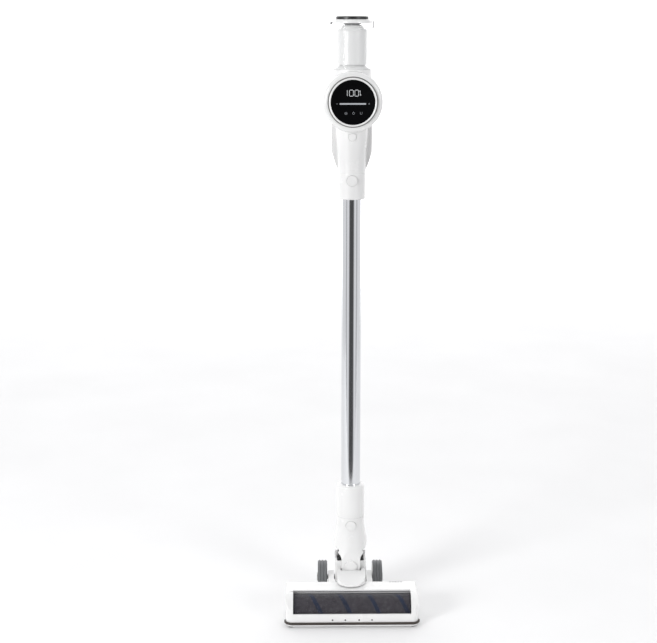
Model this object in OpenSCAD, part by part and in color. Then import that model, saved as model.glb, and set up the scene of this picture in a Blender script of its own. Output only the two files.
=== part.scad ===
// Cordless stick vacuum: powered floor head, tilting neck, aluminium wand and
// handset with a round display, in-line clear dust cup and rear loop handle.
// Millimetres. +Z is up, the front faces -Y, the floor is z = 0.

/* [Floor head] */
// Half width of the floor head over its cover
head_half_w = 122; // [110:1:140]
// Front face of the head, along Y
head_front_y = -112; // [-120:1:-100]
// Height of the joint between sole plate and cover
split_z = 11; // [8:1:16]
// Roller axis, along Y
roller_y = -81; // [-90:1:-75]
// Roller axis height
roller_z = 26; // [23:1:30]
// Outer radius of the curved front cover
nose_r = 31; // [28:0.5:34]
// Outer radius of the roller pile
pile_r = 24.5; // [20:0.5:25]
// Radius of the bare roller core
core_r = 16; // [12:0.5:20]
// Half length of the roller window
window_half = 108.5; // [90:0.5:112]
// Rear edge of the flat deck, along Y
deck_back_y = -35; // [-45:1:-30]
// Height of the deck at its rear edge
deck_z = 58.5; // [50:1:62]

/* [Wheels and tilt axis] */
// Tilt and wheel axis, along Y
axle_y = 49; // [40:1:60]
// Tilt and wheel axis height, the tyre radius
axle_z = 32; // [28:1:40]
// Axle radius
axle_r = 5; // [3:0.5:8]
// Inner face of each wheel, from the middle
wheel_in = 44; // [42:0.5:50]
// Tyre width
wheel_w = 18; // [12:0.5:24]

/* [Neck] */
// Wand axis, along Y
wand_y = 15; // [10:1:25]
// Height of the side-lean axis
lean_z = 81; // [70:1:84]
// Outer radius of the neck and lower coupler
neck_r = 26; // [22:0.5:30]
// Height of the seam between neck and wand
neck_top_z = 172; // [160:1:190]

/* [Wand] */
// Outer radius of the wand tube
tube_r = 17.9; // [15:0.1:20]
// Wall thickness of the wand tube
tube_wall = 1.3; // [0.8:0.1:2]
// Top of the lower coupler
low_coupler_z = 235.3; // [220:1:260]
// Bottom of the upper coupler
up_coupler_z = 774.7; // [700:1:900]
// Seam between wand and handset
seam_z = 821.5; // [750:1:950]
// Radius of the upper coupler
coupler_r = 25.3; // [22:0.5:28]

/* [Handset] */
// Height of the drum axis
drum_z = 949.4; // [900:1:1000]
// Outer radius of the drum
drum_r = 52.75; // [48:0.25:58]
// Radius of the display glass
glass_r = 38.9; // [34:0.1:42]
// Outer radius of the clear dust cup
cup_r = 35.15; // [32:0.25:40]
// Bottom of the dust cup
cup_z = 1003.5; // [990:0.5:1010]
// Top of the dust cup
cup_top_z = 1084; // [1060:1:1100]
// Grip axis, along Y
grip_y = 98; // [90:1:105]
// Grip radius
grip_r = 17; // [14:0.5:19]

/* [Hidden] */
$fn = 64;
pull_gap = 0.35;
press_gap = 0.3;
run_gap = 0.05;
spigot_r = 17;
button_r = 9.75;
head_button_z = 158.2;
wand_button_z = 809;
rear_y = -14;
rear_z = 41;
motor_y = -35;
motor_z = 28;
pulley_x = -114.5;
duct_z = 28;
barrel_r = 24;
yoke_half = 29.3;
chamber_r = 28.2;
tube_low_z = 178;
tube_top_z = 799;
led_x = [-36.2, -12.7, 12.7, 36.2];

// ---- helpers ----

// Extrudes a (y, z) outline along X, centred on the middle.
module along_x(w) {
  rotate([90, 0, 90]) linear_extrude(height = w, center = true) children();
}

// Extrudes an (x, z) outline from y0 to y1.
module along_y(y0, y1) {
  translate([0, y1, 0]) rotate([90, 0, 0]) linear_extrude(height = y1 - y0) children();
}

module cyl_x(r, x0, x1, y, z) {
  translate([x0, y, z]) rotate([0, 90, 0]) cylinder(r = r, h = x1 - x0);
}

module cyl_y(r, y0, y1, x, z) {
  translate([x, y0, z]) rotate([-90, 0, 0]) cylinder(r = r, h = y1 - y0);
}

module cyl_z(r, z0, z1, x, y) {
  translate([x, y, z0]) cylinder(r = r, h = z1 - z0);
}

// Box from one corner to the other.
module box(a, b) {
  translate(a) cube(b - a);
}

// Revolves an (r, z) outline about the wand axis.
module rev_wand() {
  translate([0, wand_y, 0]) rotate_extrude() children();
}

// Revolves an (r, y) outline about the drum axis.
module rev_drum() {
  translate([0, 0, drum_z]) rotate([-90, 0, 0]) rotate_extrude() children();
}

module in_pairs() {
  children();
  mirror([1, 0, 0]) children();
}

// ---- floor head ----

// Plan of the head with rounded corners, grown outwards by g.
module head_plan(g) {
  hw = head_half_w + g;
  y0 = head_front_y - g;
  y1 = rear_y + g;
  cr = 12 + g;
  translate([-(hw - cr), y0]) square([2 * (hw - cr), y1 - y0]);
  translate([-hw, y0 + cr]) square([2 * hw, y1 - y0 - cr]);
  for (s = [-1, 1]) {
    translate([s * (hw - cr), y0 + cr]) circle(r = cr);
  }
}

// Side outline of the cover above the split, moved inwards by t.
module head_profile(t) {
  intersection() {
    translate([roller_y, roller_z]) circle(r = nose_r - t);
    translate([roller_y - 40, split_z]) square([60, 60]);
  }
  translate([roller_y - nose_r + t, split_z]) square([nose_r - t, roller_z - split_z]);
  edge = [deck_back_y - 6, deck_z - 8];
  fall = [rear_y, rear_z] - edge;
  ang = atan2(fall[1], fall[0]) + acos(8 / norm(fall));
  translate(edge) circle(r = 8 - t);
  polygon([[roller_y, split_z], [roller_y, roller_z + nose_r - t], [edge[0], deck_z - t],
           edge + (7.97 - t) * [cos(ang), sin(ang)],
           [rear_y - t, rear_z - t * (1 - cos(ang)) / sin(ang)], [rear_y - t, split_z]]);
}

// Front outline of the cover with rounded shoulders.
module shoulders() {
  cr = 7;
  for (s = [-1, 1]) {
    translate([s * (head_half_w - cr), deck_z - cr]) circle(r = cr);
  }
  translate([-head_half_w, 0]) square([2 * head_half_w, deck_z - cr]);
  translate([cr - head_half_w, 0]) square([2 * (head_half_w - cr), deck_z]);
}

// Wedge of directions the window covers, seen from the roller axis.
module window_wedge(a0, a1) {
  polygon([[roller_y, roller_z],
           [roller_y - 60 * cos(a0), roller_z + 60 * sin(a0)],
           [roller_y - 80, roller_z + 80],
           [roller_y - 60 * cos(a1), roller_z + 60 * sin(a1)]]);
}

// Ear that carries the axle, an outline in (y, z).
module arm_outline() {
  polygon([[-22, 2], [-22, split_z], [-13.6, split_z], [-13.6, 38], [4, 43],
           [axle_y, axle_z + 12], [axle_y, axle_z - 12], [12, 7], [-4, 2]]);
  translate([axle_y, axle_z]) circle(r = 12);
}

module sole_plate() {
  color("white") difference() {
    union() {
      translate([0, 0, 2]) linear_extrude(height = split_z - 2) head_plan(0);
      in_pairs() translate([36.5, 0, 0]) along_x(11) arm_outline();
    }
    cyl_x(chamber_r, -112, 112, roller_y, roller_z);
    box([-119, -53, 5], [119, -24, split_z + 1]);
    box([-120, -106, 5], [-112, -53, split_z + 1]);
    cyl_x(axle_r, -60, 60, axle_y, axle_z);
    cyl_x(4, 112, 116, roller_y, roller_z);
  }
}

module head_cover() {
  color("white") difference() {
    intersection() {
      along_x(2 * head_half_w) head_profile(0);
      linear_extrude(height = 70) head_plan(0);
      along_y(-130, 0) shoulders();
    }
    along_x(2 * (head_half_w - 11)) head_profile(2.6);
    intersection() {
      along_x(2 * (head_half_w - 3)) head_profile(2.6);
      box([-head_half_w, -97, 0], [head_half_w, 0, 70]);
    }
    along_x(2 * window_half) window_wedge(-1, 103);
    box([-15.6, -30, 5], [15.6, 0, 46]);
    for (x = led_x) {
      cyl_y(1.6, head_front_y - 5, head_front_y + 5, x, 14.2);
    }
    for (i = [0:4]) {
      cyl_z(0.9, 50, 64, 73 + 5.2 * i, deck_back_y - 6);
    }
  }
}

module front_bumper() {
  color("dimgray") translate([0, 0, 5.6]) linear_extrude(height = 4.6) difference() {
    head_plan(3);
    head_plan(0);
    translate([-200, -98]) square([400, 140]);
  }
}

module roller_window() {
  color("lightgray", 0.4) along_x(2 * window_half - 0.4) intersection() {
    difference() {
      translate([roller_y, roller_z]) circle(r = nose_r - 0.7);
      translate([roller_y, roller_z]) circle(r = nose_r - 2.5);
    }
    window_wedge(-0.4, 102.4);
  }
}

module chamber_liner() {
  color("gainsboro") difference() {
    along_x(222) intersection() {
      difference() {
        translate([roller_y, roller_z]) circle(r = chamber_r - 0.1);
        translate([roller_y, roller_z]) circle(r = 25.7);
      }
      translate([roller_y + 6, split_z + 0.3]) square([60, 60]);
    }
    cyl_y(13, -70, -40, 0, duct_z);
  }
}

module headlight_lenses() {
  color("lightyellow") for (x = led_x) {
    cyl_y(1.6, head_front_y + 0.2, head_front_y + 3.6, x, 14.2);
  }
}

module brush_motor() {
  color("silver") union() {
    cyl_x(13.5, -106, -50, motor_y, motor_z);
    cyl_x(5, -50, -46, motor_y, motor_z);
  }
}

module motor_pulley() {
  color("dimgray") difference() {
    union() {
      cyl_x(6, pulley_x - 3, pulley_x + 3, motor_y, motor_z);
      cyl_x(2, pulley_x + 3, -106.3, motor_y, motor_z);
    }
    cyl_x(2.5, pulley_x - 4, pulley_x - 1.5, motor_y, motor_z);
  }
}

// Points of an arc of radius r about [c, 0] that starts at angle a and turns by t.
function arc(r, c, a, t) = [for (i = [0:20]) [c + r * cos(a + t * i / 20), r * sin(a + t * i / 20)]];

// Belt outline round a pulley of radius ra and one of radius rb at a distance run.
module belt_outline(ra, rb, run) {
  lay = asin((ra - rb) / run);
  polygon(concat(arc(ra, 0, 90 - lay, 180 + 2 * lay), arc(rb, run, lay - 90, 180 - 2 * lay)));
}

module drive_belt() {
  span = motor_y - roller_y;
  rise = motor_z - roller_z;
  run = norm([span, rise]);
  color("black") translate([pulley_x, 0, 0]) along_x(5) {
    translate([roller_y, roller_z]) rotate(atan2(rise, span)) difference() {
      belt_outline(11, 8, run);
      belt_outline(9.4, 6.4, run);
    }
  }
}

module head_duct() {
  color("gainsboro") difference() {
    cyl_y(15, -58, 32, 0, duct_z);
    cyl_y(13, -60, 40, 0, duct_z);
    cyl_x(chamber_r, -20, 20, roller_y, roller_z);
    cyl_x(barrel_r + 0.5, -20, 20, axle_y, axle_z);
  }
}

module front_glides() {
  color("black") in_pairs() union() {
    cyl_z(5, 0.4, 2, 112, -106);
    cyl_z(4.2, 0, 0.4, 112, -106);
  }
}

module axle_right() {
  color("silver") union() {
    cyl_x(axle_r, 22, wheel_in + wheel_w, axle_y, axle_z);
    cyl_x(8, wheel_in + wheel_w, wheel_in + wheel_w + 1.6, axle_y, axle_z);
  }
}

module axle_left() {
  mirror([1, 0, 0]) axle_right();
}

module roller_core() {
  color("gray") union() {
    cyl_x(core_r, -108.5, 108.5, roller_y, roller_z);
    cyl_x(6, -111.3, -108.5, roller_y, roller_z);
    cyl_x(3.95, 108.5, 115.5, roller_y, roller_z);
  }
}

module roller_sleeve() {
  color("dimgray") difference() {
    cyl_x(pile_r, -107.5, 107.5, roller_y, roller_z);
    cyl_x(core_r, -120, 120, roller_y, roller_z);
  }
}

module roller_pulley() {
  color("dimgray") cyl_x(9, -117.5, -111.3, roller_y, roller_z);
}

module hub_right() {
  color("gainsboro") translate([wheel_in, axle_y, axle_z]) rotate([0, 90, 0]) rotate_extrude() {
    polygon([[axle_r + run_gap, 0.3], [27, 0.3], [27, wheel_w - 0.3],
             [20, wheel_w - 0.3], [18, wheel_w - 3], [10, wheel_w - 3],
             [8.6, wheel_w - 0.3], [axle_r + run_gap, wheel_w - 0.3]]);
  }
}

module hub_left() {
  mirror([1, 0, 0]) hub_right();
}

// Tyre with three round ribs between plain shoulders.
module tyre_right() {
  color("gray") translate([wheel_in, axle_y, axle_z]) rotate([0, 90, 0]) rotate_extrude() {
    translate([27, 0]) square([3.6, wheel_w]);
    for (i = [0:2]) {
      translate([30.4, 3.3 + 5.7 * i]) circle(r = 1.6);
    }
  }
}

module tyre_left() {
  mirror([1, 0, 0]) tyre_right();
}

// ---- yoke and neck ----

module yoke_frame() {
  color("white") difference() {
    union() {
      cyl_x(barrel_r, -28, 28, axle_y, axle_z);
      in_pairs() box([25.8, -8.5, axle_z], [yoke_half, axle_y, 79]);
      box([-yoke_half, -8.5, 46], [yoke_half, -4.5, 87]);
      in_pairs() box([25.8, -8.5, 78], [yoke_half, 8, 87]);
      box([-yoke_half, 45, 50], [yoke_half, axle_y, 88]);
      box([-yoke_half, -8.5, 50], [yoke_half, axle_y, 56.2]);
      cyl_y(axle_r, -17.6, -8, 0, lean_z);
      cyl_y(axle_r, 48, 54, 0, lean_z);
    }
    difference() {
      cyl_x(barrel_r - 3, -21, 21, axle_y, axle_z);
      box([-30, 20, 53.5], [30, 80, 60]);
    }
    in_pairs() cyl_x(axle_r + run_gap, 20, 30, axle_y, axle_z);
    box([-13, axle_y - 30, 14], [13, axle_y - 10, 42]);
    cyl_z(19.5, 34, 60, 0, 20.2);
  }
}

// Smooth front cover over the lower half of the lean joint.
module yoke_fairing() {
  color("white") difference() {
    intersection() {
      union() {
        intersection() {
          cyl_z(26.5, 59.8, 74, 0, -41.5);
          box([-30, -80, 50], [30, -41.5, 80]);
        }
        box([-26.5, -41.5, 59.8], [26.5, -22.2, 74]);
        in_pairs() box([19.5, -22.2, 59.8], [26.5, -8.5, 74]);
      }
      cyl_x(97.06, -40, 40, -20, -23.06);
    }
    intersection() {
      union() {
        cyl_z(24, 50, 71.5, 0, -41.5);
        box([-24, -41.5, 50], [24, -24.4, 71.5]);
      }
      cyl_x(95, -40, 40, -20, -23.06);
    }
  }
}

// Ribbed air hose between the yoke and the neck.
module neck_hose() {
  color("black") translate([0, 20.2, 0]) difference() {
    union() {
      cyl_z(22.2, 56.2, 108, 0, 0);
      for (i = [0:7]) {
        cyl_z(24.2, 58.2 + 6.3 * i, 61.5 + 6.3 * i, 0, 0);
      }
    }
    cyl_z(19, 50, 120, 0, 0);
  }
}

module neck_body() {
  color("white") difference() {
    union() {
      rev_wand() polygon([[0, 108], [29.2, 108], [30.6, 112], [30.8, 120], [30.4, 128],
                          [28.6, 138], [26.8, 146], [neck_r, 154], [neck_r, neck_top_z],
                          [0, neck_top_z]]);
      intersection() {
        along_y(-18, -9) {
          translate([0, lean_z]) circle(r = 17.5);
          polygon([[-17.5, lean_z], [-17.5, 94], [-18.2, 97.4], [-20.4, 100.8], [-24, 104.4],
                   [-27, 107.6], [-28.8, 111], [-28.8, 126], [28.8, 126], [28.8, 111],
                   [27, 107.6], [24, 104.4], [20.4, 100.8], [18.2, 97.4], [17.5, 94],
                   [17.5, lean_z]]);
        }
        rev_wand() polygon([[0, 40], [46, 40], [46, 84], [36, 98], [33, 108], [31.4, 118],
                            [30.2, 126], [0, 126]]);
      }
      along_y(49.4, 54) {
        translate([0, lean_z]) circle(r = 12);
        translate([-12, lean_z]) square([24, 48]);
      }
      box([-12, 38, 110], [12, 54, 118]);
    }
    cyl_z(spigot_r + pull_gap, 124.5, 200, 0, wand_y);
    cyl_z(15.5, 100, 130, 0, wand_y);
    cyl_y(axle_r + run_gap, -30, -8, 0, lean_z);
    cyl_y(axle_r + run_gap, 45, 60, 0, lean_z);
    cyl_y(button_r + press_gap, -20, -3.3, 0, head_button_z);
  }
}

module lean_cap() {
  color("white") difference() {
    cyl_y(11, -21.4, -18, 0, lean_z);
    difference() {
      cyl_y(9.6, -22, -21, 0, lean_z);
      cyl_y(8.8, -23, -20, 0, lean_z);
    }
  }
}

module head_button() {
  color("white") union() {
    cyl_y(button_r, -11.6, -6.3, 0, head_button_z);
    cyl_y(button_r - 0.8, -12.2, -11.6, 0, head_button_z);
  }
}

// ---- wand ----

module wand_bottom_coupler() {
  color("white") difference() {
    rev_wand() polygon([[14.5, 126], [spigot_r - 1, 126], [spigot_r, 127.5],
                        [spigot_r, neck_top_z], [neck_r - 0.6, neck_top_z],
                        [neck_r, neck_top_z + 0.6], [neck_r, low_coupler_z - 3],
                        [neck_r - 3, low_coupler_z], [14.5, low_coupler_z]]);
    cyl_z(tube_r, tube_low_z, 250, 0, wand_y);
  }
}

module wand_tube() {
  color("silver") rev_wand() {
    translate([tube_r - tube_wall, tube_low_z]) square([tube_wall, tube_top_z - tube_low_z]);
  }
}

module wand_top_coupler() {
  color("white") difference() {
    rev_wand() polygon([[14.5, up_coupler_z], [coupler_r - 1.5, up_coupler_z],
                        [coupler_r, up_coupler_z + 1.5], [coupler_r, seam_z - 0.5],
                        [coupler_r - 0.5, seam_z], [spigot_r, seam_z], [spigot_r, 864.5],
                        [spigot_r - 1, 866], [14.5, 866]]);
    cyl_z(tube_r, 700, tube_top_z, 0, wand_y);
    cyl_y(button_r + press_gap, -20, -4.6, 0, wand_button_z);
  }
}

module wand_cable() {
  color("black") cyl_z(1.6, tube_low_z + 1, tube_top_z - 1, 0, wand_y + 14.6);
}

module wand_button() {
  color("white") union() {
    cyl_y(button_r, -10.9, -7.2, 0, wand_button_z);
    cyl_y(button_r - 0.8, -11.5, -10.9, 0, wand_button_z);
  }
}

// ---- handset ----

// Space taken by the drum, its rear cap and a margin g.
module drum_space(g) {
  cyl_y(drum_r + g, -41, 47, 0, drum_z);
}

// Space taken by the neck shell and a margin g.
module neck_space(g) {
  rev_wand() polygon([[0, 800], [coupler_r + g, 800], [coupler_r + g, 835],
                      [26.4 + g, 862], [28.6 + g, 885], [30 + g, 915], [30 + g, 940],
                      [0, 940]]);
}

// Outline of the cup release button, grown by g.
module cup_button_outline(g) {
  translate([0, 886.5]) circle(r = 6.6 + g);
  translate([-6.6 - g, 886.5]) square([13.2 + 2 * g, 5.5 + g]);
}

module neck_shell() {
  color("white") difference() {
    union() {
      rev_wand() polygon([[0, seam_z], [coupler_r - 0.5, seam_z], [coupler_r, seam_z + 0.5],
                          [coupler_r, 835], [26.4, 862], [28.6, 885], [30, 915], [0, 915]]);
      along_y(14, 30) polygon([[-24, 824], [-30, 838], [-36.1, 858], [-36.1, 925],
                               [36.1, 925], [36.1, 858], [30, 838], [24, 824]]);
    }
    cyl_z(spigot_r + pull_gap, 800, 868, 0, wand_y);
    cyl_z(11.05, 860, 920, 0, 8);
    along_y(-30, -4.4) cup_button_outline(press_gap);
    drum_space(0);
  }
}

module drum_shell() {
  color("white") difference() {
    rev_drum() polygon([[44, -41], [47.2, -41], [50.2, -39.4], [52, -36.8], [drum_r, -33],
                        [drum_r, 40], [50.2, 40], [50.2, -33], [48, -37], [44, -38]]);
    box([-11.05, -3.05, 880], [11.05, 19.05, 1010]);
    cyl_z(5, 980, 1010, 0, 31);
  }
}

module drum_rear_cap() {
  color("white") difference() {
    rev_drum() polygon([[0, 44.4], [0, 47], [44, 47], [48.5, 46], [51.4, 43.8], [drum_r, 40],
                        [50.1, 40], [50.1, 36], [48.3, 36], [48.3, 42], [44, 44.4]]);
    for (i = [-3:3]) {
      box([-24, 40, drum_z + 8 * i - 1.6], [24, 50, drum_z + 8 * i + 1.6]);
    }
  }
}

module display_bezel() {
  color("white") rev_drum() polygon([[glass_r, -46.4], [40.2, -47], [41.6, -46.6],
                                     [42.15, -45.4], [42.15, -40], [44, -40], [44, -36],
                                     [36, -36], [36, -42.4], [glass_r, -42.4]]);
}

module display_glass() {
  color("black") cyl_y(glass_r, -46.2, -42.4, 0, drum_z);
}

module display_board() {
  color("green") cyl_y(35.6, -41.6, -40, 0, drum_z);
}

module motor_housing() {
  color("dimgray") rev_drum() polygon([[14, 20.5], [34, 20.5], [34, 43.8], [31.5, 43.8],
                                       [31.5, 22.5], [14, 22.5]]);
}

module motor_stator() {
  color("silver") rev_drum() translate([12, 36.5]) square([14, 7]);
}

module impeller() {
  color("silver") union() {
    cyl_y(29, 25, 26.6, 0, drum_z);
    cyl_y(7, 24, 43, 0, drum_z);
    translate([0, 0, drum_z]) for (i = [0:8]) {
      rotate([0, 40 * i, 0]) box([6, 26.6, -0.8], [28, 34, 0.8]);
    }
  }
}

module inlet_duct() {
  color("gainsboro") difference() {
    cyl_z(11, 870, cup_z, 0, 8);
    cyl_z(9.5, 860, 1010, 0, 8);
  }
}

module cyclone_seat() {
  color("white") difference() {
    cyl_z(cup_r, 984, cup_z, 0, wand_y);
    drum_space(0);
    cyl_z(11.05, 980, 1010, 0, 8);
    cyl_z(5, 980, 1010, 0, 31);
  }
}

// White cone the dust circles around, flared where it meets the seat.
module cyclone_body() {
  color("white") difference() {
    rev_wand() polygon([[0, cup_z], [29.2, cup_z], [29, cup_z + 2], [23.4, 1010.8],
                        [21.2, 1014.5], [21.2, 1072], [20.2, 1076.4], [17.6, 1079.6],
                        [14, 1081], [0, 1081]]);
    cyl_z(17.5, 1000, 1075, 0, wand_y);
  }
}

module mesh_shroud() {
  color("whitesmoke", 0.5) difference() {
    rev_wand() polygon([[21.3, 1074.5], [24, 1074.5], [26.2, 1071], [26.2, 1012.5],
                        [25, 1012.5], [25, 1070.3], [23.4, 1073.2], [21.3, 1073.2]]);
  }
}

module vortex_finder() {
  color("black") difference() {
    union() {
      cyl_z(13.5, 1081, 1086, 0, wand_y);
      cyl_z(15.7, 1082.5, 1085, 0, wand_y);
      for (i = [-1:1]) {
        cyl_z(4, 1081, 1085, 8.5 * i, wand_y - sqrt(196 - 72 * i * i) + 1);
      }
    }
    cyl_z(9, 1082.2, 1090, 0, wand_y);
  }
}

module cup_seal() {
  color("black") rev_wand() translate([30.2, cup_z]) square([2.4, 1.8]);
}

module handle_shell() {
  color("white") difference() {
    union() {
      cyl_z(grip_r, 889, 990, 0, grip_y);
      translate([0, grip_y, 990]) sphere(r = grip_r);
      along_x(26) polygon([[44, 985], [44, 1002], [60, 1005], [grip_y, 1005], [grip_y, 988],
                           [64, 987.5]]);
      along_x(30) polygon([[30.2, 889], [30.2, 904], [84, 904], [86, 906], [grip_y, 906],
                           [grip_y, 889]]);
    }
    drum_space(0);
    neck_space(0.02);
    cyl_z(cup_r + 0.02, 980, cup_z, 0, wand_y);
    cyl_z(cup_r + 0.5, cup_z - 0.1, 1100, 0, wand_y);
    box([-8.3, 70, 949.7], [8.3, 92, 975.3]);
  }
}

module cup_button() {
  color("white") along_y(-14.6, -7) cup_button_outline(0);
}

module trigger() {
  color("gray") difference() {
    box([-8, 76, 950], [8, 87, 975]);
    cyl_x(16, -20, 20, 63, 962.5);
  }
}

module dust_cup() {
  color("lightgray", 0.35) difference() {
    union() {
      cyl_z(cup_r, cup_z, cup_top_z, 0, wand_y);
      for (y = [8.3, 18]) {
        box([-38.2, y, 1077], [-33.5, y + 3.7, 1083.6]);
        cyl_y(1.9, y, y + 3.7, -37.4, 1084);
      }
      box([33.5, 10, 1071], [37.6, 12.4, 1079]);
      box([33.5, 17.6, 1071], [37.6, 20, 1079]);
    }
    cyl_z(33.1, 990, 1100, 0, wand_y);
    cyl_y(1.2, 0, 30, -37.4, 1084);
    cyl_y(1.05, 0, 30, 36.4, 1076);
  }
}

module lid_hinge_pin() {
  color("silver") cyl_y(1.2, 8, 22, -37.4, 1084);
}

module cup_lid() {
  color("white") difference() {
    union() {
      rev_wand() polygon([[0, 1084], [cup_r, 1084], [cup_r, 1087], [33.6, 1089.6],
                          [31.5, 1090.5], [0, 1090.5]]);
      cyl_y(1.95, 12.3, 17.7, -37.4, 1084);
      box([-38.2, 12.3, 1084.2], [-33, 17.7, 1087]);
    }
    cyl_z(18.6, 1083, 1088, 0, wand_y);
    cyl_y(1.25, 0, 30, -37.4, 1084);
  }
}

module lid_cap() {
  color("black") rev_wand() polygon([[0, 1090.5], [28.8, 1090.5], [28.8, 1094.8],
                                     [27.6, 1096], [0, 1096]]);
}

module lid_latch() {
  color("dimgray") difference() {
    union() {
      box([35.9, 12.7, 1074.6], [37.9, 17.3, 1088]);
      cyl_y(1, 10, 20, 36.4, 1076);
    }
    cyl_z(cup_r + 0.4, 1060, 1100, 0, wand_y);
  }
}

module battery_case() {
  color("white") difference() {
    along_y(30.4, 98) polygon([[-23, 829], [-34.5, 856], [-34.5, 888.6], [34.5, 888.6],
                               [34.5, 856], [23, 829]]);
    for (c = [[-21, 874], [0, 874], [21, 874], [-11, 854], [11, 854]]) {
      cyl_y(9.3, 28, 95.5, c[0], c[1]);
    }
    neck_space(0.4);
    cyl_y(4.6, 86, 100, 0, 837);
    box([-9.3, 95.6, 861.7], [9.3, 99, 870.3]);
  }
}

module battery_cells() {
  color("teal") for (c = [[-21, 874], [0, 874], [21, 874], [-11, 854], [11, 854]]) {
    cyl_y(9.2, 46, 95.4, c[0], c[1]);
  }
}

module charge_socket() {
  color("black") difference() {
    cyl_y(4.6, 86, 98, 0, 837);
    cyl_y(2.8, 89, 100, 0, 837);
  }
}

module battery_latch() {
  color("gray") box([-9, 97, 862], [9, 99.4, 870]);
}

// ---- assembly ----

sole_plate();
head_cover();
front_bumper();
roller_window();
chamber_liner();
headlight_lenses();
brush_motor();
drive_belt();
head_duct();
front_glides();
axle_left();
axle_right();
roller_core();
roller_sleeve();
roller_pulley();
motor_pulley();
hub_left();
tyre_left();
hub_right();
tyre_right();
yoke_frame();
yoke_fairing();
neck_hose();
neck_body();
lean_cap();
head_button();
wand_bottom_coupler();
wand_tube();
wand_top_coupler();
wand_cable();
wand_button();
neck_shell();
drum_shell();
drum_rear_cap();
display_bezel();
display_glass();
display_board();
motor_housing();
motor_stator();
impeller();
inlet_duct();
cyclone_seat();
cyclone_body();
mesh_shroud();
vortex_finder();
cup_seal();
handle_shell();
cup_button();
trigger();
dust_cup();
lid_hinge_pin();
cup_lid();
lid_cap();
lid_latch();
battery_case();
battery_cells();
charge_socket();
battery_latch();
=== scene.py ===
import math
import bpy
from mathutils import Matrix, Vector


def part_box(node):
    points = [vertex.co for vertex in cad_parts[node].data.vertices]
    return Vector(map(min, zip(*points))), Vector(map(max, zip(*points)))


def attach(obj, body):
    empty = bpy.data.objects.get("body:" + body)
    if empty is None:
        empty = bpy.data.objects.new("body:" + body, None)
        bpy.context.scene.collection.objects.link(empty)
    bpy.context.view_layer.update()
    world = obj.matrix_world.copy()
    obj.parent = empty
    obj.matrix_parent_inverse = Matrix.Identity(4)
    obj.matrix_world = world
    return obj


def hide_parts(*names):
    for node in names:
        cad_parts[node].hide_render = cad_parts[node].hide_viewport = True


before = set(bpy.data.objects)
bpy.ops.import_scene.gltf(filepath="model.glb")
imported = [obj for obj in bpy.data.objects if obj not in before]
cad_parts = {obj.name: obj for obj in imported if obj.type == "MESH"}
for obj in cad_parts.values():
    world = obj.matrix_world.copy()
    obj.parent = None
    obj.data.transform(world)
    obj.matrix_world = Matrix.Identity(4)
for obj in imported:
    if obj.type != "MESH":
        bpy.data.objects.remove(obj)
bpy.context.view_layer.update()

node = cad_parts

# Axes and sizes of the vacuum, read from the frame
glass_lo, glass_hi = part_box("display_glass")
sleeve_lo, sleeve_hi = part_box("roller_sleeve")
tube_lo, tube_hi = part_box("wand_tube")
cover_lo, cover_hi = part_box("head_cover")
drum = (glass_lo + glass_hi) / 2
glass_face = glass_lo.y
roller = (sleeve_lo + sleeve_hi) / 2
wand_y = (tube_lo.y + tube_hi.y) / 2
pile_r = (sleeve_hi.z - sleeve_lo.z) / 2


# ---------------------------------------------------------------- finishes

def new_finish(name):
    mat = bpy.data.materials.new(name)
    mat.use_nodes = True
    tree = mat.node_tree
    return mat, tree, tree.nodes["Principled BSDF"]


def grain(tree, scale, detail=3.0, stretch=(1, 1, 1)):
    """Noise on the piece's own coordinates, stretched along an axis."""
    place = tree.nodes.new("ShaderNodeTexCoord")
    turn = tree.nodes.new("ShaderNodeMapping")
    turn.inputs["Scale"].default_value = stretch
    noise = tree.nodes.new("ShaderNodeTexNoise")
    noise.inputs["Scale"].default_value = scale
    noise.inputs["Detail"].default_value = detail
    tree.links.new(place.outputs["Object"], turn.inputs["Vector"])
    tree.links.new(turn.outputs["Vector"], noise.inputs["Vector"])
    return noise


def ramp_between(tree, source, low, high, start=0.35, end=0.65):
    ramp = tree.nodes.new("ShaderNodeValToRGB")
    ramp.color_ramp.elements[0].position = start
    ramp.color_ramp.elements[1].position = end
    ramp.color_ramp.elements[0].color = (*low, 1)
    ramp.color_ramp.elements[1].color = (*high, 1)
    tree.links.new(source, ramp.inputs["Fac"])
    return ramp


def range_to(tree, source, low, high):
    span = tree.nodes.new("ShaderNodeMapRange")
    span.inputs["From Min"].default_value = 0.3
    span.inputs["From Max"].default_value = 0.7
    span.inputs["To Min"].default_value = low
    span.inputs["To Max"].default_value = high
    tree.links.new(source, span.inputs["Value"])
    return span.outputs["Result"]


def add_bump(tree, shader, source, strength, depth):
    bump = tree.nodes.new("ShaderNodeBump")
    bump.inputs["Strength"].default_value = strength
    bump.inputs["Distance"].default_value = depth
    tree.links.new(source, bump.inputs["Height"])
    tree.links.new(bump.outputs["Normal"], shader.inputs["Normal"])


def moulded(name, dark, light, rough, coat=0.0, texture=900, depth=0.00003, shine=0.5):
    """Moulded plastic: faint colour drift, fine mould texture, uneven gloss."""
    mat, tree, shader = new_finish(name)
    drift = grain(tree, 9, 2)
    colour = ramp_between(tree, drift.outputs["Fac"], dark, light)
    tree.links.new(colour.outputs["Color"], shader.inputs["Base Color"])
    fine = grain(tree, texture, 4)
    smear = grain(tree, 35, 5)
    tree.links.new(range_to(tree, smear.outputs["Fac"], rough * 0.85, rough * 1.2),
                   shader.inputs["Roughness"])
    add_bump(tree, shader, fine.outputs["Fac"], 0.35, depth)
    shader.inputs["Specular IOR Level"].default_value = shine
    shader.inputs["Coat Weight"].default_value = coat
    shader.inputs["Coat Roughness"].default_value = 0.08
    return mat


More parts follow.
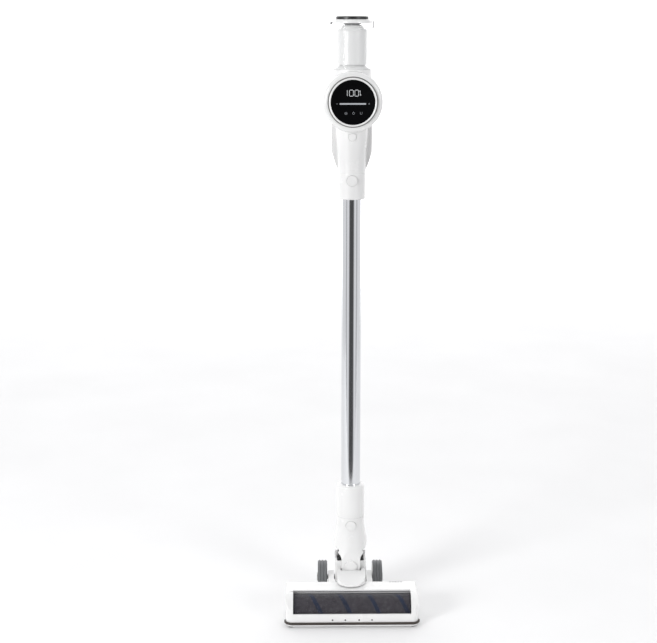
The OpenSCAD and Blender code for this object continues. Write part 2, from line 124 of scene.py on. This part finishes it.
def brushed(name, dark, light, rough, stretch, metallic=1.0):
    """Metal with fine drawn lines along one axis."""
    mat, tree, shader = new_finish(name)
    lines = grain(tree, 160, 4, stretch)
    colour = ramp_between(tree, lines.outputs["Fac"], dark, light)
    tree.links.new(colour.outputs["Color"], shader.inputs["Base Color"])
    tree.links.new(range_to(tree, lines.outputs["Fac"], rough * 0.8, rough * 1.25),
                   shader.inputs["Roughness"])
    shader.inputs["Metallic"].default_value = metallic
    add_bump(tree, shader, lines.outputs["Fac"], 0.15, 0.00002)
    return mat


def clear_moulding(name, tint, rough, alpha, texture=70, coat=0.3, shine=0.5):
    """Clear or frosted moulding with faint flow lines."""
    mat, tree, shader = new_finish(name)
    flow = grain(tree, texture, 2, (1, 1, 0.2))
    shade = ramp_between(tree, flow.outputs["Fac"], [c * 0.96 for c in tint], tint)
    tree.links.new(shade.outputs["Color"], shader.inputs["Base Color"])
    shader.inputs["Roughness"].default_value = rough
    shader.inputs["IOR"].default_value = 1.49
    shader.inputs["Alpha"].default_value = alpha
    shader.inputs["Specular IOR Level"].default_value = shine
    shader.inputs["Coat Weight"].default_value = coat
    shader.inputs["Coat Roughness"].default_value = 0.03
    add_bump(tree, shader, flow.outputs["Fac"], 0.05, 0.00001)
    return mat


def glowing(name, colour, strength):
    """Lit segments behind glass, slightly uneven."""
    mat, tree, shader = new_finish(name)
    patch = grain(tree, 400, 2)
    tint = ramp_between(tree, patch.outputs["Fac"], [c * 0.92 for c in colour], colour)
    tree.links.new(tint.outputs["Color"], shader.inputs["Emission Color"])
    shader.inputs["Base Color"].default_value = (0.01, 0.01, 0.01, 1)
    shader.inputs["Emission Strength"].default_value = strength
    shader.inputs["Specular IOR Level"].default_value = 0.1
    shader.inputs["Roughness"].default_value = 0.4
    return mat


def pile_cloth():
    """Short roller pile in warm grey with navy stripes wound round it."""
    mat, tree, shader = new_finish("roller_pile_cloth")
    add = tree.nodes.new
    link = tree.links.new
    place = add("ShaderNodeTexCoord")
    centre = add("ShaderNodeMapping")
    centre.inputs["Location"].default_value = (0, -roller.y, -roller.z)
    parts = add("ShaderNodeSeparateXYZ")
    link(place.outputs["Object"], centre.inputs["Vector"])
    link(centre.outputs["Vector"], parts.inputs["Vector"])
    angle = add("ShaderNodeMath")
    angle.operation = "ARCTAN2"
    link(parts.outputs["Y"], angle.inputs[0])
    link(parts.outputs["Z"], angle.inputs[1])

    def step(operation, a, b):
        math_node = add("ShaderNodeMath")
        math_node.operation = operation
        for i, value in enumerate((a, b)):
            if isinstance(value, (int, float)):
                math_node.inputs[i].default_value = value
            elif value is not None:
                link(value, math_node.inputs[i])
        return math_node.outputs[0]

    wound = step("ADD", step("DIVIDE", parts.outputs["X"], stripe_pitch),
                 step("MULTIPLY", angle.outputs[0], stripe_twist))
    ragged = grain(tree, 260, 3)
    edge = step("MULTIPLY", step("SUBTRACT", ragged.outputs["Fac"], 0.5), 0.05)
    phase = step("FRACT", step("ADD", step("ADD", wound, stripe_start), edge), None)
    inside = step("LESS_THAN", phase, 0.155)
    tuft = grain(tree, 1500, 3)
    clump = grain(tree, 120, 4)
    ground = ramp_between(tree, clump.outputs["Fac"], (0.026, 0.023, 0.027),
                          (0.060, 0.054, 0.062), 0.3, 0.72)
    navy = ramp_between(tree, clump.outputs["Fac"], (0.003, 0.008, 0.026),
                        (0.009, 0.019, 0.052), 0.3, 0.72)
    mix = add("ShaderNodeMix")
    mix.data_type = "RGBA"
    link(inside, mix.inputs[0])
    link(ground.outputs["Color"], mix.inputs[6])
    link(navy.outputs["Color"], mix.inputs[7])
    link(mix.outputs[2], shader.inputs["Base Color"])
    shader.inputs["Roughness"].default_value = 0.85
    shader.inputs["Sheen Weight"].default_value = 0.25
    shader.inputs["Sheen Roughness"].default_value = 0.45
    add_bump(tree, shader, tuft.outputs["Fac"], 0.8, 0.0004)
    return mat


stripe_pitch = 0.0535
stripe_twist = 0.7 / math.pi
stripe_start = 0.505

white_gloss = moulded("gloss_white_shell", (0.80, 0.80, 0.795), (0.84, 0.84, 0.835), 0.24, 0.35)
white_satin = moulded("satin_white_shell", (0.78, 0.78, 0.775), (0.82, 0.82, 0.815), 0.42)
pale_part = moulded("pale_grey_moulding", (0.52, 0.52, 0.52), (0.58, 0.58, 0.58), 0.45)
dark_part = moulded("black_moulding", (0.012, 0.012, 0.013), (0.02, 0.02, 0.021), 0.35)
rubber_black = moulded("soft_black_rubber", (0.010, 0.010, 0.010), (0.022, 0.022, 0.022), 0.7,
                       0.0, 600, 0.00008)
bumper_skin = moulded("bumper_brown_black", (0.030, 0.022, 0.018), (0.050, 0.038, 0.030), 0.5,
                      0.0, 500, 0.00006)
tyre_grey = moulded("ribbed_grey_tyre", (0.16, 0.165, 0.17), (0.21, 0.215, 0.22), 0.6,
                    0.0, 420, 0.0001)
wand_metal = brushed("drawn_aluminium_wand", (0.70, 0.71, 0.73), (0.78, 0.79, 0.81), 0.11,
                     (9, 9, 0.05))
pin_steel = brushed("turned_steel", (0.42, 0.42, 0.43), (0.55, 0.55, 0.56), 0.3, (1, 6, 6))
fan_metal = brushed("fan_aluminium", (0.60, 0.61, 0.63), (0.70, 0.71, 0.73), 0.3, (3, 1, 3))
cup_clear = clear_moulding("clear_cup_plastic", (0.86, 0.88, 0.88), 0.05, 0.10, 70, 0.1)
lens_smoked = clear_moulding("smoked_lens_plastic", (0.02, 0.02, 0.022), 0.15, 0.92)
window_clear = clear_moulding("roller_window_plastic", (0.08, 0.08, 0.10), 0.03, 0.08, 70, 0.0, 0.2)
frosted = clear_moulding("frosted_mesh_plastic", (0.93, 0.93, 0.925), 0.35, 0.85, 300)
display_black = moulded("display_black_glass", (0.002, 0.002, 0.0025), (0.004, 0.004, 0.0045),
                        0.09, 0.0, 30, 0.000002, 0.12)
board_green = moulded("solder_mask_green", (0.008, 0.07, 0.028), (0.02, 0.11, 0.045), 0.4)
cell_wrap = moulded("cell_teal_wrap", (0.01, 0.16, 0.18), (0.02, 0.20, 0.22), 0.3)
segment_white = glowing("lit_segment_white", (0.95, 0.97, 1.0), 0.85)
segment_dim = glowing("lit_segment_dim", (0.72, 0.75, 0.80), 0.62)
segment_faint = glowing("lit_segment_faint", (0.60, 0.63, 0.68), 0.42)
stripe_cloth = pile_cloth()
soft_grey = moulded("soft_grey_pad", (0.30, 0.30, 0.305), (0.36, 0.36, 0.365), 0.7, 0.0, 700,
                    0.00006)
# Dark grey for the ring round the display bezel: painted shade standing in for the recess shadow.
bezel_shade_grey = moulded("bezel_painted_shade_grey", (0.16, 0.16, 0.155), (0.21, 0.21, 0.205), 0.7)
lint_felt = moulded("lint_strip_felt", (0.16, 0.02, 0.02), (0.24, 0.03, 0.03), 0.95, 0.0, 1400,
                    0.0003)

finish_of = {
    "gloss_white_shell": "sole_plate head_cover yoke_frame yoke_fairing neck_body lean_cap "
                         "wand_bottom_coupler wand_top_coupler neck_shell drum_shell "
                         "display_bezel cyclone_seat handle_shell cup_lid battery_case "
                         "cup_button head_button wand_button",
    "satin_white_shell": "drum_rear_cap cyclone_body cup_seal",
    "pale_grey_moulding": "chamber_liner head_duct hub_left hub_right inlet_duct trigger "
                          "lid_latch battery_latch",
    "black_moulding": "roller_core roller_pulley motor_housing vortex_finder lid_cap "
                      "charge_socket",
    "soft_black_rubber": "drive_belt front_glides neck_hose wand_cable",
    "bumper_brown_black": "front_bumper",
    "ribbed_grey_tyre": "tyre_left tyre_right",
    "drawn_aluminium_wand": "wand_tube",
    "turned_steel": "brush_motor axle_left axle_right motor_pulley motor_stator lid_hinge_pin",
    "fan_aluminium": "impeller",
    "clear_cup_plastic": "dust_cup",
    "smoked_lens_plastic": "headlight_lenses",
    "roller_window_plastic": "roller_window",
    "frosted_mesh_plastic": "mesh_shroud",
    "display_black_glass": "display_glass",
    "solder_mask_green": "display_board",
    "cell_teal_wrap": "battery_cells",
}


def dress(piece, mat):
    piece.data.materials.clear()
    piece.data.materials.append(mat)


for finish, names in finish_of.items():
    for name in names.split():
        dress(node[name], bpy.data.materials[finish])


edge_steps = 3
edge_angle = math.radians(32)


def soften(name, width):
    """Rounds a node's moulded edges with live modifiers; its own mesh stays."""
    part = node[name]
    for face in part.data.polygons:
        face.use_smooth = True
    weld = part.modifiers.new("weld", "WELD")
    weld.merge_threshold = 0.000002
    bevel = part.modifiers.new("moulded_edge", "BEVEL")
    bevel.width = width
    bevel.segments = edge_steps
    bevel.limit_method = "ANGLE"
    bevel.angle_limit = edge_angle
    bevel.harden_normals = False
    even = part.modifiers.new("even_shading", "WEIGHTED_NORMAL")
    even.keep_sharp = True
    even.weight = 80


for name, width in {
    "sole_plate": 0.0008, "head_cover": 0.0006, "front_bumper": 0.0012, "yoke_frame": 0.0015,
    "yoke_fairing": 0.0012, "neck_body": 0.0008, "lean_cap": 0.0008, "head_button": 0.0005,
    "wand_button": 0.0005, "cup_button": 0.0004, "wand_bottom_coupler": 0.0004,
    "wand_top_coupler": 0.0004, "neck_shell": 0.0004,
    "drum_shell": 0.0003, "drum_rear_cap": 0.0004, "display_bezel": 0.0003,
    "cyclone_seat": 0.0004, "handle_shell": 0.0025, "trigger": 0.001, "battery_case": 0.002,
    "battery_latch": 0.0006, "lid_latch": 0.0004, "lid_cap": 0.0004, "cup_lid": 0.0003,
    "dust_cup": 0.0003, "vortex_finder": 0.0003, "front_glides": 0.0002,
}.items():
    soften(name, width)


# ---------------------------------------------------------------- modelling helpers

def clear_choice():
    if bpy.context.object and bpy.context.object.mode != "OBJECT":
        bpy.ops.object.mode_set(mode="OBJECT")
    bpy.ops.object.select_all(action="DESELECT")


def named(name):
    """Names the piece in hand and its mesh."""
    piece = bpy.context.object
    piece.name = name
    piece.data.name = name
    return piece


def settle_place(piece):
    """Moves a piece's place into its mesh."""
    clear_choice()
    piece.select_set(True)
    bpy.context.view_layer.objects.active = piece
    bpy.ops.object.transform_apply(location=True, rotation=True, scale=True)


def apply_all(piece):
    clear_choice()
    piece.select_set(True)
    bpy.context.view_layer.objects.active = piece
    for mod in list(piece.modifiers):
        bpy.ops.object.modifier_apply(modifier=mod.name)


def join_as(name, pieces):
    clear_choice()
    for piece in pieces:
        piece.select_set(True)
    bpy.context.view_layer.objects.active = pieces[0]
    bpy.ops.object.join()
    return named(name)


def finish_piece(piece, mat, body):
    dress(piece, mat)
    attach(piece, body)
    return piece


# ---------------------------------------------------------------- display marks

mark_depth = 0.00012


def bar(x, z, w, h):
    """A lit bar lying just proud of the display glass."""
    clear_choice()
    bpy.ops.mesh.primitive_cube_add(size=1, location=(x, glass_face - mark_depth / 2, z))
    piece = bpy.context.object
    piece.scale = (w, mark_depth, h)
    settle_place(piece)
    bevel = piece.modifiers.new("bevel", "BEVEL")
    bevel.width = min(w, h) * 0.3
    bevel.limit_method = "NONE"
    bevel.offset_type = "OFFSET"
    bevel.affect = "VERTICES"
    apply_all(piece)
    return piece


def digit(x, z, w, h, lit):
    """Seven-bar figure centred at x, z."""
    t = w * 0.12
    places = {
        "a": (0, h / 2, w - 2 * t, t), "g": (0, 0, w - 2 * t, t), "d": (0, -h / 2, w - 2 * t, t),
        "f": (-w / 2, h / 4, t, h / 2 - t), "b": (w / 2, h / 4, t, h / 2 - t),
        "e": (-w / 2, -h / 4, t, h / 2 - t), "c": (w / 2, -h / 4, t, h / 2 - t),
    }
    return [bar(x + places[k][0], z + places[k][1], places[k][2], places[k][3]) for k in lit]


def ring_mark(x, z, r, thick):
    """A lit ring lying on the display glass."""
    clear_choice()
    bpy.ops.mesh.primitive_torus_add(location=(x, glass_face - 0.00004, z), major_radius=r,
                                     minor_radius=thick / 2, major_segments=40, minor_segments=6,
                                     rotation=(math.pi / 2, 0, 0))
    piece = bpy.context.object
    piece.scale = (1, 1, 0.25)
    settle_place(piece)
    return piece


digit_z = drum.z + 0.0160
bar_z = drum.z - 0.0025
icon_z = drum.z - 0.0188
figures = (digit(-0.0131, digit_z, 0.0060, 0.0104, "bc")
           + digit(-0.0029, digit_z, 0.0068, 0.0104, "abcdef")
           + digit(0.0063, digit_z, 0.0064, 0.0104, "abcdef")
           + [ring_mark(0.0118, digit_z + 0.0032, 0.0008, 0.0005),
              ring_mark(0.0130, digit_z - 0.0032, 0.0008, 0.0005),
              bar(0.0124, digit_z, 0.0005, 0.0052)])
charge_figures = join_as("charge_figures", figures)
finish_piece(charge_figures, segment_white, "handset")

power_bar = bar(-0.0003, bar_z, 0.0458, 0.0026)
named("power_slider_bar")
finish_piece(power_bar, segment_dim, "handset")

signs = [bar(-0.0277, bar_z, 0.0030, 0.0006), bar(0.0279, bar_z, 0.0030, 0.0006),
         bar(0.0279, bar_z, 0.0006, 0.0030)]
power_signs = join_as("power_signs", signs)
finish_piece(power_signs, segment_faint, "handset")

icons = [ring_mark(-0.0123, icon_z, 0.0020, 0.0005), bar(-0.0123, icon_z, 0.0022, 0.0005),
         bar(-0.0123, icon_z, 0.0005, 0.0022),
         ring_mark(0.0009, icon_z, 0.0018, 0.0005), bar(0.0009, icon_z + 0.0024, 0.0005, 0.0012),
         bar(0.0126, icon_z + 0.0004, 0.0005, 0.0040), bar(0.0143, icon_z - 0.0014, 0.0032, 0.0005),
         bar(0.0160, icon_z + 0.0011, 0.0005, 0.0028)]
mode_icons = join_as("mode_icons", icons)
finish_piece(mode_icons, segment_faint, "handset")


# ---------------------------------------------------------------- roller pile

def roller_pile():
    """Sleeve of fine tufts in place of the plain one; its long edges are cut crossways."""
    clear_choice()
    bpy.ops.mesh.primitive_cylinder_add(vertices=160, radius=pile_r - 0.0005,
                                        depth=sleeve_hi.x - sleeve_lo.x, location=roller,
                                        rotation=(0, math.pi / 2, 0))
    piece = named("roller_pile")
    settle_place(piece)
    bpy.ops.object.mode_set(mode="EDIT")
    bpy.ops.mesh.select_mode(type="EDGE")
    bpy.ops.mesh.select_all(action="DESELECT")
    bpy.ops.object.mode_set(mode="OBJECT")
    for edge in piece.data.edges:
        a, b = (piece.data.vertices[i].co for i in edge.vertices)
        edge.select = abs(a.x - b.x) > 0.1
    bpy.ops.object.mode_set(mode="EDIT")
    bpy.ops.mesh.subdivide(number_cuts=100)
    bpy.ops.mesh.select_mode(type="VERT")
    bpy.ops.object.mode_set(mode="OBJECT")
    tufts = bpy.data.textures.new("pile_tufts", "CLOUDS")
    tufts.noise_scale = 0.004
    push = piece.modifiers.new("tufts", "DISPLACE")
    push.texture = tufts
    push.texture_coords = "LOCAL"
    push.strength = 0.0009
    push.mid_level = 0.5
    apply_all(piece)
    for face in piece.data.polygons:
        face.use_smooth = True
    return piece


pile = roller_pile()
finish_piece(pile, stripe_cloth, "roller")
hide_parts("roller_sleeve")


# ---------------------------------------------------------------- small fittings

def deck_dots():
    """Five dark status studs pressed in the deck's row of holes."""
    pins = []
    for i in range(5):
        clear_choice()
        bpy.ops.mesh.primitive_cylinder_add(
            vertices=20, radius=0.00125, depth=0.0014,
            location=(0.073 + 0.0052 * i, -0.0412, cover_hi.z - 0.0003))
        piece = bpy.context.object
        settle_place(piece)
        pins.append(piece)
    return join_as("deck_status_studs", pins)


def screw(place, turn):
    """Small cross-head screw facing +Y."""
    clear_choice()
    bpy.ops.mesh.primitive_cylinder_add(vertices=32, radius=0.0026, depth=0.0012,
                                        location=place, rotation=(math.pi / 2, 0, 0))
    head = bpy.context.object
    settle_place(head)
    for a in (turn, turn + math.pi / 2):
        clear_choice()
        bpy.ops.mesh.primitive_cube_add(size=1, location=(place[0], place[1] + 0.0006, place[2]),
                                        rotation=(0, a, 0))
        slotter = bpy.context.object
        slotter.scale = (0.0034, 0.0009, 0.0006)
        settle_place(slotter)
        cut = head.modifiers.new("cross", "BOOLEAN")
        cut.operation = "DIFFERENCE"
        cut.object = slotter
        apply_all(head)
        clear_choice()
        slotter.select_set(True)
        bpy.ops.object.delete()
    return head


def grip_pad():
    """Soft pad with finger ribs on the inner side of the loop handle."""
    centre_y, low, high = 0.098, 0.910, 0.944
    pad_r, rib_count = 0.01705, 12
    step = (high - low) / rib_count
    clear_choice()
    bpy.ops.mesh.primitive_cylinder_add(vertices=72, radius=pad_r, depth=high - low,
                                        end_fill_type="NOTHING",
                                        location=(0, centre_y, (low + high) / 2))
    piece = named("grip_pad")
    settle_place(piece)
    bpy.ops.object.mode_set(mode="EDIT")
    bpy.ops.mesh.select_all(action="SELECT")
    bpy.ops.mesh.bisect(plane_co=(0, centre_y - 0.004, 0), plane_no=(0, 1, 0), clear_outer=True)
    for i in range(1, rib_count):
        bpy.ops.mesh.select_all(action="SELECT")
        bpy.ops.mesh.bisect(plane_co=(0, 0, low + step * i), plane_no=(0, 0, 1))
    bpy.ops.mesh.select_all(action="SELECT")
    bpy.ops.object.mode_set(mode="OBJECT")
    ribs = piece.modifiers.new("rib_body", "SOLIDIFY")
    ribs.thickness = 0.0005
    ribs.offset = 1
    apply_all(piece)
    for face in piece.data.polygons:
        band = int((face.center.z - low) / step)
        out = Vector((face.center.x, face.center.y - centre_y, 0))
        face.select = (band % 2 == 1 and 0 < band < rib_count - 1 and out.length > 0.0172
                       and abs(face.normal.z) < 0.5 and face.normal.dot(out) > 0
                       and out.y < -0.0055)
    bpy.ops.object.mode_set(mode="EDIT")
    bpy.ops.mesh.select_mode(type="FACE")
    bpy.ops.object.mode_set(mode="OBJECT")
    bpy.ops.object.mode_set(mode="EDIT")
    bpy.ops.mesh.extrude_region_shrink_fatten(TRANSFORM_OT_shrink_fatten={"value": 0.0005})
    bpy.ops.object.mode_set(mode="OBJECT")
    for face in piece.data.polygons:
        face.use_smooth = True
    edge = piece.modifiers.new("edge", "BEVEL")
    edge.width = 0.00018
    edge.segments = 2
    edge.limit_method = "ANGLE"
    even = piece.modifiers.new("even", "WEIGHTED_NORMAL")
    even.keep_sharp = True
    apply_all(piece)
    return piece


def felt_strip():
    """Lint strip along the rear of the sole's opening."""
    clear_choice()
    bpy.ops.mesh.primitive_cube_add(size=1, location=(0, -0.0485, 0.00135))
    piece = named("sole_lint_strip")
    piece.scale = (0.206, 0.006, 0.0014)
    settle_place(piece)
    edge = piece.modifiers.new("edge", "BEVEL")
    edge.width = 0.0004
    edge.segments = 3
    apply_all(piece)
    return piece


def bezel_shade_ring():
    """Dark ring in the recess round the display bezel, painted shade for the shadow that falls in
    that recess.
    """
    clear_choice()
    bpy.ops.mesh.primitive_torus_add(location=(0, -0.0402, drum.z), rotation=(math.pi / 2, 0, 0),
                                     major_radius=0.0431, minor_radius=0.00085,
                                     major_segments=128, minor_segments=12)
    piece = named("bezel_shade_ring")
    settle_place(piece)
    return piece


# The dark ring round the bezel is painted shade for the recess shadow.
finish_piece(bezel_shade_ring(), bezel_shade_grey, "handset")
finish_piece(deck_dots(), dark_part, "head")
finish_piece(grip_pad(), soft_grey, "handset")
finish_piece(felt_strip(), lint_felt, "head")
screws = join_as("battery_screws",
                 [screw((x, 0.0979, 0.8640), 0.4 + x * 9) for x in (-0.029, 0.029)])
finish_piece(screws, pin_steel, "battery")


# ---------------------------------------------------------------- room

def room():
    """Plain pale floor."""
    clear_choice()
    bpy.ops.mesh.primitive_plane_add(size=4, location=(0, 1.3, 0))
    floor = named("pale_floor")
    mat, tree, shader = new_finish("pale_floor_paint")
    cloud = grain(tree, 3, 2)
    tone = ramp_between(tree, cloud.outputs["Fac"], (0.86, 0.86, 0.86), (0.88, 0.88, 0.88))
    tree.links.new(tone.outputs["Color"], shader.inputs["Base Color"])
    shader.inputs["Roughness"].default_value = 0.7
    shader.inputs["Specular IOR Level"].default_value = 0.2
    dress(floor, mat)


def soft_box(name, place, aim, size, power):
    lamp = bpy.data.lights.new(name, "AREA")
    lamp.shape = "SQUARE"
    lamp.size = size
    lamp.energy = power
    holder = bpy.data.objects.new(name, lamp)
    bpy.context.scene.collection.objects.link(holder)
    holder.location = place
    holder.rotation_euler = (Vector(aim) - Vector(place)).to_track_quat("-Z", "Y").to_euler()


# Studio round the vacuum, the same on both sides: degrees from straight ahead, brightness.
# A dark gap in front, a bright panel at 45, a grey gap at 60, and a bright room beyond.
side_bands = [(20, 0.1), (35, 1.0), (50, 1.0), (60, 0.5), (75, 1.0)]
sky_bands = ([(-degrees, level) for degrees, level in reversed(side_bands)] + side_bands)


def studio_sky():
    """Upright bands of light and shade all round, which the metal wand shows as stripes."""
    world = bpy.data.worlds.new("studio_sky")
    bpy.context.scene.world = world
    world.use_nodes = True
    tree = world.node_tree
    back = tree.nodes["Background"]
    place = tree.nodes.new("ShaderNodeTexCoord")
    parts = tree.nodes.new("ShaderNodeSeparateXYZ")
    tree.links.new(place.outputs["Generated"], parts.inputs["Vector"])
    ahead = tree.nodes.new("ShaderNodeMath")
    ahead.operation = "MULTIPLY"
    ahead.inputs[1].default_value = -1.0
    turn = tree.nodes.new("ShaderNodeMath")
    turn.operation = "ARCTAN2"
    span = tree.nodes.new("ShaderNodeMapRange")
    span.inputs["From Min"].default_value = -math.pi
    span.inputs["From Max"].default_value = math.pi
    tree.links.new(parts.outputs["Y"], ahead.inputs[0])
    tree.links.new(parts.outputs["X"], turn.inputs[0])
    tree.links.new(ahead.outputs[0], turn.inputs[1])
    tree.links.new(turn.outputs[0], span.inputs["Value"])
    ramp = tree.nodes.new("ShaderNodeValToRGB")
    bands = ramp.color_ramp.elements
    bands[0].color = bands[1].color = (1, 1, 1, 1)
    for degrees, level in sky_bands:
        stop = bands.new((degrees + 180) / 360)
        stop.color = (level, level, level * 1.02, 1)
    tree.links.new(span.outputs["Result"], ramp.inputs["Fac"])
    tree.links.new(ramp.outputs["Color"], back.inputs["Color"])
    back.inputs["Strength"].default_value = 0.85


def backdrop():
    """Lit paper wall behind the vacuum."""
    clear_choice()
    bpy.ops.mesh.primitive_plane_add(size=9, location=(0, 3.2, 1.5), rotation=(math.pi / 2, 0, 0))
    wall = named("white_backdrop")
    mat, tree, shader = new_finish("lit_white_paper")
    shader.inputs["Emission Color"].default_value = (1, 1, 1, 1)
    shader.inputs["Emission Strength"].default_value = 1.1
    dress(wall, mat)


room()
backdrop()
studio_sky()
soft_box("key_box", (-2.3, -2.3, 1.4), (0, 0, 0.75), 1.1, 60)
soft_box("fill_box", (2.2, -2.4, 1.5), (0, 0, 0.8), 0.9, 22)
soft_box("top_box", (0.1, 0.2, 3.2), (0, 0, 0.5), 1.6, 1.5)
bpy.context.scene.view_settings.view_transform = "Standard"

camera_distance = 2.45
camera_height = 1.08
lens = bpy.data.cameras.new("front_camera")
lens.lens = 74.6
camera = bpy.data.objects.new("front_camera", lens)
bpy.context.scene.collection.objects.link(camera)
camera.location = (-0.075, wand_y - camera_distance, camera_height)
target = Vector((-0.0418, wand_y, 0.5472))
camera.rotation_euler = (target - camera.location).to_track_quat("-Z", "Y").to_euler()
lens.clip_start = 0.05
lens.clip_end = 50
bpy.context.scene.camera = camera

clear_choice()
